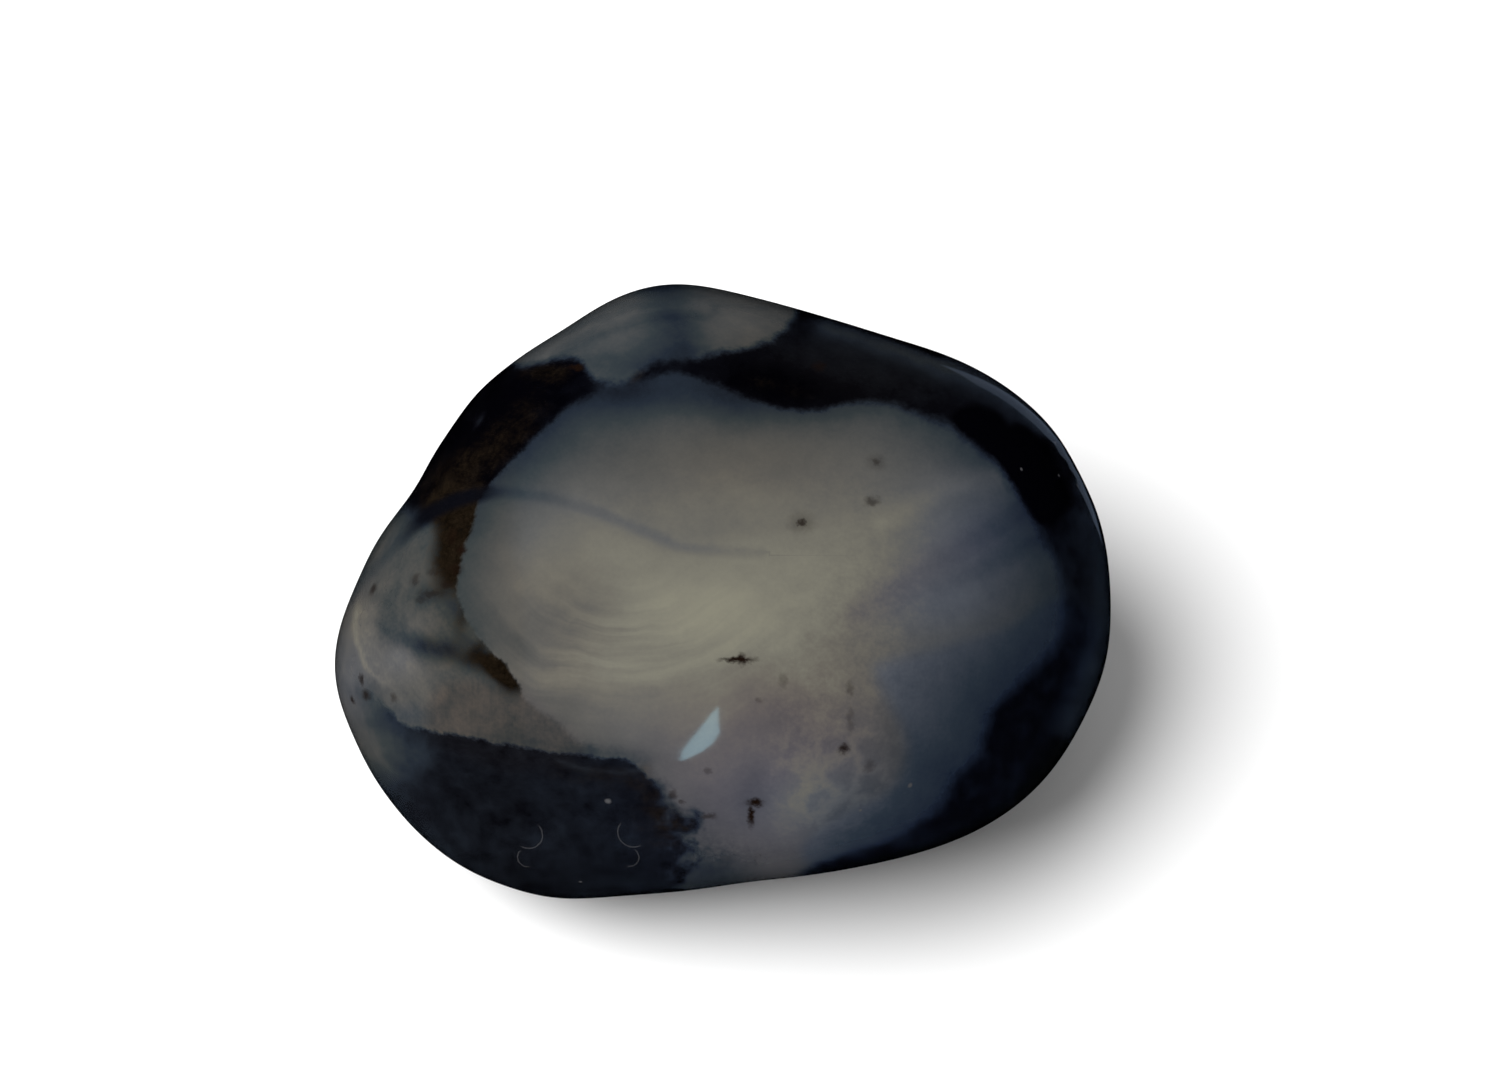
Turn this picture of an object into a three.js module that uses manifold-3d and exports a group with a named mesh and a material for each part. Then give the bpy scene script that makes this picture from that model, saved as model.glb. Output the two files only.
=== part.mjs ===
// A pebble of snowflake obsidian, tumbled and polished, lying on its flattest side.
// Millimetres, +Z up. The origin is on the surface it rests on, below the middle of its outline.
// The broad face with the large pale patch looks up and towards -Y.
// The stone is one solid: an egg-shaped pebble that wear has given a number of soft flats.
import * as THREE from "three";
import { mergeVertices } from "three/addons/utils/BufferGeometryUtils.js";
import Module from "manifold-3d";

// Half the length, depth and height of the rough egg that the flats are worn into.
const EGG = new THREE.Vector3(20, 17, 12);
// The direction that the broad face is seen from, in degrees above the horizon, from -Y.
const FACE_RISE = 55;
// How crisply one flat meets the next: a higher number leaves a sharper edge.
const CRISPNESS = 8;
// Thickness worn off the underside, which leaves the small plane that the stone rests on.
const BASE_WEAR = 0.12;
// Rows of triangles along each edge of the 20-sided ball that the surface is spread over.
const ROWS = 16;

// The worn flats. Turn and rise are degrees on the broad face's own compass: turn 0 is to the right,
// 90 is up the face, and rise 90 points out of it. Reach is the distance from the middle to the plane
// that the flat would lie in if nothing rounded it off.
const FLATS = [
  { name: "right end", turn: 352, rise: 0, reach: 18.9 },
  { name: "right end, upper", turn: 16, rise: 0, reach: 18.0 },
  { name: "right shoulder", turn: 40, rise: 3, reach: 19.5 },
  { name: "long upper edge", turn: 71, rise: 4, reach: 12.3 },
  { name: "crest", turn: 102, rise: 0, reach: 15.3 },
  { name: "left of the crest", turn: 126, rise: 0, reach: 14.0 },
  { name: "long left edge", turn: 151, rise: 0, reach: 13.75 },
  { name: "left end", turn: 188, rise: 0, reach: 20.4 },
  { name: "left end, lower", turn: 211, rise: 0, reach: 18.0 },
  { name: "lower left corner", turn: 240, rise: 0, reach: 25.0 },
  { name: "lower edge", turn: 279, rise: 0, reach: 12.2 },
  { name: "lower right edge", turn: 325, rise: 0, reach: 17.2 },
  { name: "broad face", turn: 80, rise: 66, reach: 10.0 },
  { name: "front, low", turn: 255, rise: 45, reach: 13.5 },
  { name: "left of the face", turn: 165, rise: 42, reach: 15.0 },
  { name: "right of the face", turn: 350, rise: 45, reach: 13.8 },
  { name: "underside", turn: 270, rise: -FACE_RISE, reach: 9.6 },
  { name: "back, left", turn: 150, rise: -42, reach: 13.4 },
  { name: "back, right", turn: 40, rise: -42, reach: 13.2 },
];

const { degToRad } = THREE.MathUtils;

// The broad face's own axes: across it, up it and out of it.
const rise = degToRad(FACE_RISE);
const ACROSS = new THREE.Vector3(1, 0, 0);
const UP = new THREE.Vector3(0, Math.sin(rise), Math.cos(rise));
const OUT = new THREE.Vector3(0, -Math.cos(rise), Math.sin(rise));

// The unit direction at a turn and rise on the broad face's compass.
function direction(turn, riseAngle) {
  const t = degToRad(turn);
  const r = degToRad(riseAngle);
  return new THREE.Vector3()
    .addScaledVector(ACROSS, Math.cos(r) * Math.cos(t))
    .addScaledVector(UP, Math.cos(r) * Math.sin(t))
    .addScaledVector(OUT, Math.sin(r));
}

const flats = FLATS.map((flat) => ({ normal: direction(flat.turn, flat.rise), reach: flat.reach }));

// How far the surface is from the middle in a unit direction: the nearest of the egg and the flats,
// with the corners between them rounded off by the power mean.
function surfaceReach(unit) {
  let sum = unit.clone().divide(EGG).length() ** CRISPNESS;
  for (const { normal, reach } of flats) {
    sum += Math.max(0, unit.dot(normal) / reach) ** CRISPNESS;
  }
  return sum ** (-1 / CRISPNESS);
}

// The rounded stone, as a ball whose points are moved out to the surface.
function roundedStone() {
  const ball = new THREE.IcosahedronGeometry(1, ROWS - 1);
  ball.deleteAttribute("normal");
  ball.deleteAttribute("uv");
  const geometry = mergeVertices(ball, 1e-5);
  const points = geometry.getAttribute("position");
  const point = new THREE.Vector3();
  for (let i = 0; i < points.count; i++) {
    point.fromBufferAttribute(points, i).normalize();
    point.multiplyScalar(surfaceReach(point));
    points.setXYZ(i, point.x, point.y, point.z);
  }
  return geometry;
}

// A geometry as a manifold-3d solid.
function solidOf(wasm, geometry) {
  return new wasm.Manifold(
    new wasm.Mesh({
      numProp: 3,
      vertProperties: geometry.getAttribute("position").array,
      triVerts: new Uint32Array(geometry.index.array),
    }),
  );
}

// The stone with its underside ground flat, moved so that it rests at Z 0 below its own middle.
async function restingStone() {
  const wasm = await Module();
  wasm.setup();
  const rounded = roundedStone();
  rounded.computeBoundingBox();
  const restHeight = rounded.boundingBox.min.z + BASE_WEAR;

  const span = 4 * EGG.x;
  const floor = new THREE.BoxGeometry(span, span, span);
  floor.translate(0, 0, restHeight - span / 2);
  floor.deleteAttribute("normal");
  floor.deleteAttribute("uv");

  const mesh = solidOf(wasm, rounded).subtract(solidOf(wasm, mergeVertices(floor))).getMesh();
  const geometry = new THREE.BufferGeometry();
  geometry.setAttribute("position", new THREE.BufferAttribute(mesh.vertProperties, 3));
  geometry.setIndex(new THREE.BufferAttribute(mesh.triVerts, 1));
  geometry.computeBoundingBox();
  const { min, max } = geometry.boundingBox;
  geometry.translate(-(min.x + max.x) / 2, -(min.y + max.y) / 2, -min.z);
  return geometry.toNonIndexed();
}

const stoneGeometry = await restingStone();
stoneGeometry.computeVertexNormals();

const obsidian = new THREE.MeshStandardMaterial({
  name: "polished obsidian",
  color: new THREE.Color().setRGB(0.07, 0.075, 0.08),
  roughness: 0.12,
  metalness: 0,
});

const stone = new THREE.Mesh(stoneGeometry, obsidian);
stone.name = "stone";

const group = new THREE.Group();
group.name = "snowflake_obsidian";
group.add(stone);

export default group;
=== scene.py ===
"""A tumbled pebble of snowflake obsidian: black volcanic glass with broad pale clouds, polished all over.

The stone is a fine mesh of the same worn egg as the CAD solid. What its clouds look like is drawn on
the broad face, in millimetres across and up that face, and carried on to the back by solid blobs.
"""

import math

import bpy
import numpy as np
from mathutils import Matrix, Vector


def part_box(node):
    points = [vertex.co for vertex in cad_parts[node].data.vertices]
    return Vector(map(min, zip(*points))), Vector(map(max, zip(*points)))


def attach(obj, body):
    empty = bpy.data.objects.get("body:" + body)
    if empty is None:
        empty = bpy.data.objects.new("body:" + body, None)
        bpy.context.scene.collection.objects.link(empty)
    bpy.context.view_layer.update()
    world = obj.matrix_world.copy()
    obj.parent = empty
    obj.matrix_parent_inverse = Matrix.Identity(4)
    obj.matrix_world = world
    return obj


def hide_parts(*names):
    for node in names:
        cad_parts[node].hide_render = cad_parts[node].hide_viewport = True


bl_info = {
    "name": "Snowflake obsidian pebble",
    "version": (1, 0, 0),
    "blender": (4, 5, 0),
    "location": "View3D > Sidebar > Pebble",
    "description": "Builds a polished pebble of snowflake obsidian on a pale floor",
    "category": "Add Mesh",
}

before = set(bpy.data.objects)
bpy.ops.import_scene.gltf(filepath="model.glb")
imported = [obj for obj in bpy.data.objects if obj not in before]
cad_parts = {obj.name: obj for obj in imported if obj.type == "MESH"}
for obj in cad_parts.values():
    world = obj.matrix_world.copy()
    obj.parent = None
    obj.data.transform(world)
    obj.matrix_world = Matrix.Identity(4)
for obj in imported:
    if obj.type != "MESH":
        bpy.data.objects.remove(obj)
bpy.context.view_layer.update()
MM = 0.001

# The worn egg, in millimetres and degrees: the same driving dimensions as the CAD solid.
EGG = (20.0, 17.0, 12.0)
FACE_RISE = 55.0
CRISPNESS = 8
BASE_WEAR = 0.12
# Turn and rise on the broad face's own compass, and the flat's distance from the stone's middle.
FLATS = {
    "right end": (352, 0, 18.9),
    "right end, upper": (16, 0, 18.0),
    "right shoulder": (40, 3, 19.5),
    "long upper edge": (71, 4, 12.3),
    "crest": (102, 0, 15.3),
    "left of the crest": (126, 0, 14.0),
    "long left edge": (151, 0, 13.75),
    "left end": (188, 0, 20.4),
    "left end, lower": (211, 0, 18.0),
    "lower left corner": (240, 0, 25.0),
    "lower edge": (279, 0, 12.2),
    "lower right edge": (325, 0, 17.2),
    "broad face": (80, 66, 10.0),
    "front, low": (255, 45, 13.5),
    "left of the face": (165, 42, 15.0),
    "right of the face": (350, 45, 13.8),
    "underside": (270, -FACE_RISE, 9.6),
    "back, left": (150, -42, 13.4),
    "back, right": (40, -42, 13.2),
}

# The broad face's own axes, as rows: across it, up it and out of it.
RISE = math.radians(FACE_RISE)
FACE = np.array([
    [1.0, 0.0, 0.0],
    [0.0, math.sin(RISE), math.cos(RISE)],
    [0.0, -math.cos(RISE), math.sin(RISE)],
])
# The face is drawn as seen from this far out, and the camera aims at this place across and up it, in
# millimetres from the stone's middle.
DRAWN_FROM = 170.8
AIM = (1.15, 2.17)

# Half the floor's side, and how far the windows are from the stone, in metres.
HALF_FLOOR = 3.0
WINDOW_DISTANCE = 0.5

# Outlines on the face, in millimetres across and up from the stone's middle.
MAIN_CLOUD = [
    (-9.8, 4.1), (-9.1, 4.9), (-8.3, 5.7), (-7.3, 6.7), (-6.2, 7.7), (-5.2, 8.1), (-4.4, 8.25),
    (-3.3, 8.6), (-2.2, 8.95), (-1.1, 8.75), (-0.1, 8.4), (1.1, 7.9), (2.4, 7.5),
    (3.6, 7.35), (4.6, 7.5), (5.7, 7.7), (6.9, 7.6), (8.5, 7.0), (9.4, 6.7), (10.0, 6.2),
    (10.7, 5.7), (11.4, 5.0), (11.9, 4.3), (12.5, 3.5), (12.9, 2.7), (13.7, 1.0), (14.0, -0.1),
    (14.1, -1.1), (13.7, -2.4), (12.9, -3.2), (12.0, -4.2), (11.1, -5.0), (10.7, -5.9),
    (10.4, -6.9), (9.4, -7.8), (9.0, -8.7), (8.2, -9.5), (7.1, -10.2), (5.8, -10.6), (4.5, -11.0),
    (3.2, -11.6), (2.0, -12.5), (0.8, -13.6), (-0.6, -13.6), (-1.8, -12.3), (-1.8, -11.3),
    (-1.4, -10.5), (-1.0, -9.8), (-1.2, -9.4), (-2.0, -9.1), (-2.5, -8.5), (-2.8, -7.9),
    (-3.2, -6.95), (-4.2, -6.5), (-5.2, -6.35), (-6.1, -6.1), (-6.7, -5.4), (-7.5, -4.9),
    (-8.1, -4.4), (-8.3, -3.9), (-8.6, -3.4), (-9.1, -2.75), (-9.7, -2.2), (-10.3, -1.4),
    (-10.65, -0.7), (-10.85, 0.1), (-10.85, 0.6), (-10.7, 1.3), (-10.5, 2.0), (-10.2, 2.8),
    (-10.0, 3.6),
]
LEFT_CLOUD = [
    (-9.8, 3.8), (-10.8, 3.4), (-11.8, 3.1), (-12.7, 3.3), (-13.8, 4.2), (-16.0, 4.0),
    (-18.5, 1.0), (-18.5, -5.5), (-16.0, -5.6), (-14.2, -4.6), (-12.9, -5.45), (-10.8, -5.86),
    (-8.8, -6.3), (-6.0, -6.7), (-4.9, -6.8), (-4.0, -6.88), (-3.4, -7.35), (-2.7, -7.7),
    (-2.0, -5.8), (-6.6, -2.9), (-8.3, 1.2),
]
CAP_CLOUD = [
    (-10.2, 11.0), (-8.6, 9.3), (-7.5, 9.3), (-6.1, 9.5), (-5.4, 8.8), (-4.9, 8.5), (-4.2, 8.4),
    (-3.6, 8.6), (-3.1, 9.0), (-2.5, 9.3), (-0.9, 9.4), (-0.4, 9.6), (1.0, 9.8), (1.6, 10.0),
    (2.2, 10.2), (2.7, 10.6), (3.0, 11.0), (3.6, 12.6), (1.6, 15.0), (-3.0, 15.5), (-8.5, 14.0),
]
BLUE_POOL = [
    (6.1, -3.2), (7.5, -2.7), (9.3, -2.3), (11.8, -1.6), (13.9, -0.4), (15.5, -2.0), (13.5, -6.3),
    (11.4, -9.6), (8.1, -11.7), (4.4, -12.0), (3.2, -10.6), (5.2, -9.2), (6.7, -8.4), (7.4, -7.2),
    (7.3, -5.9), (6.7, -4.7),
]
TAN_PATCH = [
    (-8.2, -4.0), (-7.4, -4.7), (-6.8, -5.3), (-6.0, -6.0), (-5.8, -6.8), (-7.5, -7.4),
    (-10.5, -6.8), (-12.0, -5.8), (-12.0, -4.6), (-11.4, -3.8), (-9.6, -3.6),
]
RUST_PATCH = [
    (-11.7, 3.6), (-9.6, 4.0), (-9.6, 2.5), (-10.2, 1.2), (-10.5, 0.6), (-11.1, 0.5),
    (-11.7, 1.1), (-11.7, 1.8), (-11.6, 2.6),
]
BLACK_BLOB = [
    (9.5, 7.0), (10.6, 7.3), (11.3, 7.05), (11.7, 6.5), (12.3, 6.6), (13.0, 6.2), (13.6, 5.95),
    (14.1, 5.5), (14.5, 4.9), (14.55, 4.2), (14.4, 3.6), (13.9, 3.0), (13.2, 2.7), (12.6, 3.0),
    (12.3, 3.7), (11.8, 4.5), (11.3, 5.2), (10.6, 5.7), (9.9, 6.3),
]
# Curves on the face that bands and streaks follow.
DARK_VEIN = [
    (-15.3, -0.2), (-14.5, 0.7), (-13.7, 1.6), (-12.9, 2.55), (-11.9, 3.3), (-10.8, 3.8), (-10.1, 4.0),
    (-9.2, 4.1), (-8.1, 4.0), (-6.7, 3.75), (-5.0, 3.2), (-3.4, 2.5), (-1.7, 1.8), (-0.1, 1.6), (1.6, 1.5),
]
FLOW = [
    (-12.5, 3.0), (-10.4, 0.4), (-8.6, -1.8), (-6.6, -2.9), (-4.2, -3.3), (-1.3, -2.9),
    (1.1, -1.4), (3.2, 0.0), (5.7, 1.2), (9.8, 3.4), (14.0, 5.6),
]
PALE_STRIPE = [(6.6, 2.7), (9.0, 4.0), (11.4, 4.6)]
CREST_LINE = [(-7.2, 9.7), (-6.2, 10.4), (-4.6, 11.1), (-2.5, 11.6), (-0.6, 11.7)]
MAUVE_STRIPE = [(5.6, -0.9), (7.6, 0.3), (9.9, 1.6), (11.4, 2.4), (13.0, 3.4)]
SECOND_STRIPE = [(8.9, 0.0), (10.8, 0.9), (13.4, 2.2)]
# Painted reflection: the pale line along the left rim is the painted edge of a reflection of the bright
# floor.
LEFT_RIM_REFLECTION_EDGE = [(-14.6, 0.1), (-14.95, -0.5), (-15.05, -1.5), (-14.85, -2.45), (-14.5, -3.15), (-13.9, -3.7)]
BLUE_SMEAR = [(-14.2, -1.2), (-13.5, -1.75), (-12.2, -2.2), (-11.3, -2.35)]
BROWN_SMEAR = [(-12.1, -2.15), (-10.8, -2.65), (-9.6, -2.85), (-9.0, -3.2), (-8.6, -3.7)]
MIST_LINE = [(-15.8, -3.6), (-15.4, -4.8), (-14.7, -6.5), (-13.5, -8.6), (-11.7, -10.8)]
# Painted reflection: along this line the glass is drawn paler, a painted sheen of the upper right edge.
SHEEN_LINE = [(4.4, 10.8), (6.1, 10.25), (8.5, 9.35), (11.3, 8.1), (12.9, 6.9), (13.9, 5.6), (14.5, 4.1)]
# Painted dark reflection: a thin line drawn darker along the upper right rim, outside the painted sheen.
DARK_RIM_REFLECTION_LINE = [(2.6, 11.75), (4.4, 11.25), (6.1, 10.7), (8.0, 10.0), (9.0, 9.6)]
ORANGE_LINE = [(-6.8, -6.95), (-5.6, -7.3), (-4.4, -7.4), (-3.4, -7.35), (-2.8, -7.1)]
# Painted reflection: the glass is drawn paler along this line of the right rim.
RIGHT_RIM_REFLECTION = [(15.0, 2.8), (15.5, 0.5), (15.5, -1.5), (15.0, -3.6), (14.1, -5.6)]


def smooth_curve(points, closed):
    """A Catmull-Rom curve through the points, with four short steps from each to the next."""
    knots = np.asarray(points, float)
    if closed:
        before, start, end, after = (np.roll(knots, shift, 0) for shift in (1, 0, -1, -2))
    else:
        padded = np.vstack([2 * knots[0] - knots[1], knots, 2 * knots[-1] - knots[-2]])
        before, start, end, after = padded[:-3], padded[1:-2], padded[2:-1], padded[3:]
    t = np.linspace(0, 1, 4, endpoint=False)[None, :, None]
    before, start, end, after = (side[:, None, :] for side in (before, start, end, after))
    curve = 0.5 * (
        2 * start
        + (end - before) * t
        + (2 * before - 5 * start + 4 * end - after) * t**2
        + (3 * start - before - 3 * end + after) * t**3
    )
    curve = curve.reshape(-1, 2)
    return curve if closed else np.vstack([curve, knots[-1]])


def nearest_on(points, start, end):
    """Distance from every point to a straight stretch, and which side of it the point is on."""
    along = end - start
    share = np.clip((points - start) @ along / (along @ along), 0, 1)
    away = points - start - share[:, None] * along
    return np.hypot(away[:, 0], away[:, 1]), along[0] * away[:, 1] - along[1] * away[:, 0]


def depth_inside(points, outline):
    """Millimetres inside a closed outline, negative outside: the distance to the curve, and inside is
    where a line to the right crosses it an odd number of times."""
    loop = smooth_curve(outline, closed=True)
    distance = np.full(len(points), np.inf)
    inside = np.zeros(len(points), bool)
    for start, end in zip(loop, np.roll(loop, -1, 0)):
        distance = np.minimum(distance, nearest_on(points, start, end)[0])
        spans = (start[1] > points[:, 1]) != (end[1] > points[:, 1])
        rise = np.where(end[1] == start[1], 1.0, end[1] - start[1])
        crossing = start[0] + (points[:, 1] - start[1]) * (end[0] - start[0]) / rise
        inside ^= spans & (points[:, 0] < crossing)
    return np.where(inside, distance, -distance)


def beside(points, line):
    """Millimetres to the left of an open curve, negative to its right."""
    curve = smooth_curve(line, closed=False)
    best = np.full(len(points), np.inf)
    side = np.ones(len(points))
    for start, end in zip(curve[:-1], curve[1:]):
        distance, hand = nearest_on(points, start, end)
        nearer = distance < best - 1e-9
        best = np.where(nearer, distance, best)
        side = np.where(nearer, np.sign(hand) + (hand == 0), side)
    return best * side


def bell(distance, width):
    """1 on a line and fading away from it: e to the power of minus (distance / width) squared."""
    return np.exp(-((distance / width) ** 2))


def spot(points, centre, radii, turn=0.0):
    """A soft oval: 1 in its middle, a third of that at its radii, and nothing far outside."""
    angle = math.radians(turn)
    away = points - np.array(centre)
    across = away[:, 0] * math.cos(angle) + away[:, 1] * math.sin(angle)
    up = away[:, 1] * math.cos(angle) - away[:, 0] * math.sin(angle)
    return np.exp(-((across / radii[0]) ** 2) - (up / radii[1]) ** 2)


def blob_depth(points, centre, radii):
    """Millimetres inside a solid egg, roughly: (1 - the distance in radii) times the mean radius."""
    share = np.linalg.norm((points - np.array(centre)) / np.array(radii), axis=1)
    return (1 - share) * float(np.mean(radii))


def rounded_end(points, centre, radii):
    """Millimetres inside the rounded back end of a cloud, which goes straight on in front of its centre."""
    level = points.copy()
    level[:, 2] = np.minimum(level[:, 2], centre[2])
    return blob_depth(level, centre, radii)


def surface_reach(unit):
    """Distance from the stone's middle to its surface: the egg and each flat give a nearness, and the
    surface is where the eighth powers of the nearnesses add up to one."""
    total = np.linalg.norm(unit / np.array(EGG), axis=1) ** CRISPNESS
    for turn, rise, reach in FLATS.values():
        turn, rise = math.radians(turn), math.radians(rise)
        on_face = [math.cos(rise) * math.cos(turn), math.cos(rise) * math.sin(turn), math.sin(rise)]
        total += np.clip(unit @ (np.array(on_face) @ FACE) / reach, 0, None) ** CRISPNESS
    return total ** (-1 / CRISPNESS)


def ball_directions(rows):
    """Unit directions and four-sided faces of a ball made from a cube's six sides. A point of a side is
    (1, tan a, tan b) over its length, with a and b from -45 to 45 degrees, so that the grid is even."""
    marks = np.arange(rows + 1)
    across, up = np.meshgrid(marks, marks, indexing="ij")
    corners = np.stack([across[:-1, :-1], across[1:, :-1], across[1:, 1:], across[:-1, 1:]], -1)
    heights = np.stack([up[:-1, :-1], up[1:, :-1], up[1:, 1:], up[:-1, 1:]], -1)
    cells = (corners * (rows + 1) + heights).reshape(-1, 4)
    lattice, faces = [], []
    for axis in range(3):
        for level in (0, rows):
            side = np.empty((rows + 1, rows + 1, 3), int)
            side[..., axis] = level
            side[..., (axis + 1) % 3] = across
            side[..., (axis + 2) % 3] = up
            faces.append((cells if level else cells[:, ::-1]) + len(lattice) * (rows + 1) ** 2)
            lattice.append(side.reshape(-1, 3))
    points, shared = np.unique(np.concatenate(lattice), axis=0, return_inverse=True)
    direction = np.tan((points / rows - 0.5) * math.pi / 2)
    direction /= np.linalg.norm(direction, axis=1)[:, None]
    return direction, shared.reshape(-1)[np.concatenate(faces)]


def polish_waves(points, height):
    """The slight unevenness that tumbling leaves: a sum of sine waves in seeded directions, each half
    as high as the one twice as long."""
    draw = np.random.default_rng(7)
    total = np.zeros(len(points))
    for length in (9.0, 6.0, 4.5, 3.0):
        for _ in range(3):
            heading = draw.normal(size=3)
            heading /= np.linalg.norm(heading)
            phase = draw.uniform(0, 2 * math.pi)
            total += length / 9 * np.sin(2 * math.pi * (points @ heading) / length + phase)
    return height * total / 3


# Solid clouds at the back, on the face's axes: middle and radii, in millimetres.
CLOUDS_BEHIND = [
    ((8.2, 8.2, -5.8), (4.6, 3.6, 4.0)), ((4.6, 5.8, -8.6), (3.4, 2.8, 2.8)),
    ((-8.0, 3.8, -9.0), (4.8, 3.2, 4.2)), ((-3.4, 2.6, -10.5), (3.4, 2.8, 3.0)),
    ((12.6, -2.6, -6.4), (3.4, 3.4, 3.2)), ((-2.0, -8.0, -8.5), (4.4, 2.4, 3.6)),
]

# Small chips: place across and up the face, radius and depth, in millimetres.
CHIPS = [
    (13.6, 5.6, 0.45, 0.07), (14.0, 4.9, 0.38, 0.06), (14.3, 4.2, 0.5, 0.08), (14.5, 3.6, 0.3, 0.05),
    (-1.4, -11.4, 0.45, 0.07), (0.3, -11.2, 0.4, 0.06), (1.5, -11.1, 0.35, 0.06),
]

# Trims of the stone's outline as seen square on: turn on the face's compass and width in degrees, and
# millimetres added.
TRIMS = [
    (18, 8, -0.18), (41, 13, 0.28), (99, 12, 0.27), (121, 9, -0.20), (141, 7, 0.12), (161, 6, -0.14),
    (172, 6, 0.12), (187, 12, 0.38), (201, 7, -0.12), (213, 15, -0.28), (241, 8, 0.20), (275, 9, -0.08),
    (349, 8, 0.14),
]


def draw_on_face(points):
    """Where points of the stone fall on the face as drawn: across and up, as seen from DRAWN_FROM."""
    on_face = points @ FACE.T
    return on_face[:, :2] * (DRAWN_FROM / (DRAWN_FROM - on_face[:, 2]))[:, None], on_face[:, 2]


def lean_behind(drawn, out):
    """The clouds lean and sway behind the rim. Each place is moved by a part of how far behind it is,
    and by the sine of that."""
    behind = np.clip(-1.0 - out, 0, None)
    sway = np.sin(0.9 * behind + 0.3 * drawn[:, 1]) - np.sin(0.3 * drawn[:, 1])
    bend = np.sin(0.8 * behind - 0.35 * drawn[:, 0]) + np.sin(0.35 * drawn[:, 0])
    return drawn + np.stack([0.45 * behind + 0.9 * sway, -0.15 * behind + 0.7 * bend], 1)


def stone_surface(rows, wave_height):
    """Points and faces of the stone about its own middle, in millimetres: every direction of the ball
    times the reach there, less the chips, and flattened at the height that it rests on."""
    direction, faces = ball_directions(rows)
    reach = surface_reach(direction)
    reach += polish_waves(direction * reach[:, None], wave_height)
    on_face = direction @ FACE.T
    heading = np.degrees(np.arctan2(on_face[:, 1], on_face[:, 0]))
    for turn, width, amount in TRIMS:
        away = (heading - turn + 180) % 360 - 180
        reach += amount * bell(away, width) * (1 - on_face[:, 2] ** 2) ** 2
    drawn, out = draw_on_face(direction * reach[:, None])
    for across, up, radius, depth in CHIPS:
        share = np.hypot(drawn[:, 0] - across, drawn[:, 1] - up) / radius
        reach -= np.where(out > 0, depth * np.clip(1 - share**2, 0, 1), 0)
    points = direction * reach[:, None]
    rest = points[:, 2].min() + BASE_WEAR
    points[:, 2] = np.maximum(points[:, 2], rest)
    return points, faces


def seat_of(points):
    """Where the stone's own middle lies, in millimetres, once it rests in the CAD solid's place."""
    low, high = (np.array(corner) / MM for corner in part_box("stone"))
    seat = (low + high) / 2 - (points.min(0) + points.max(0)) / 2
    seat[2] = low[2] - points[:, 2].min()
    return seat


def step(values, low, high):
    """0 below low, 1 above high, and 3 t squared - 2 t cubed between them."""
    share = np.clip((values - low) / (high - low), 0, 1)
    return share * share * (3 - 2 * share)


def lower_of(first, second):
    """The smaller of two thicknesses, rounded where they cross: minus the log of summed powers."""
    return -np.log(np.exp(-20 * first) + np.exp(-20 * second)) / 20


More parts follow.
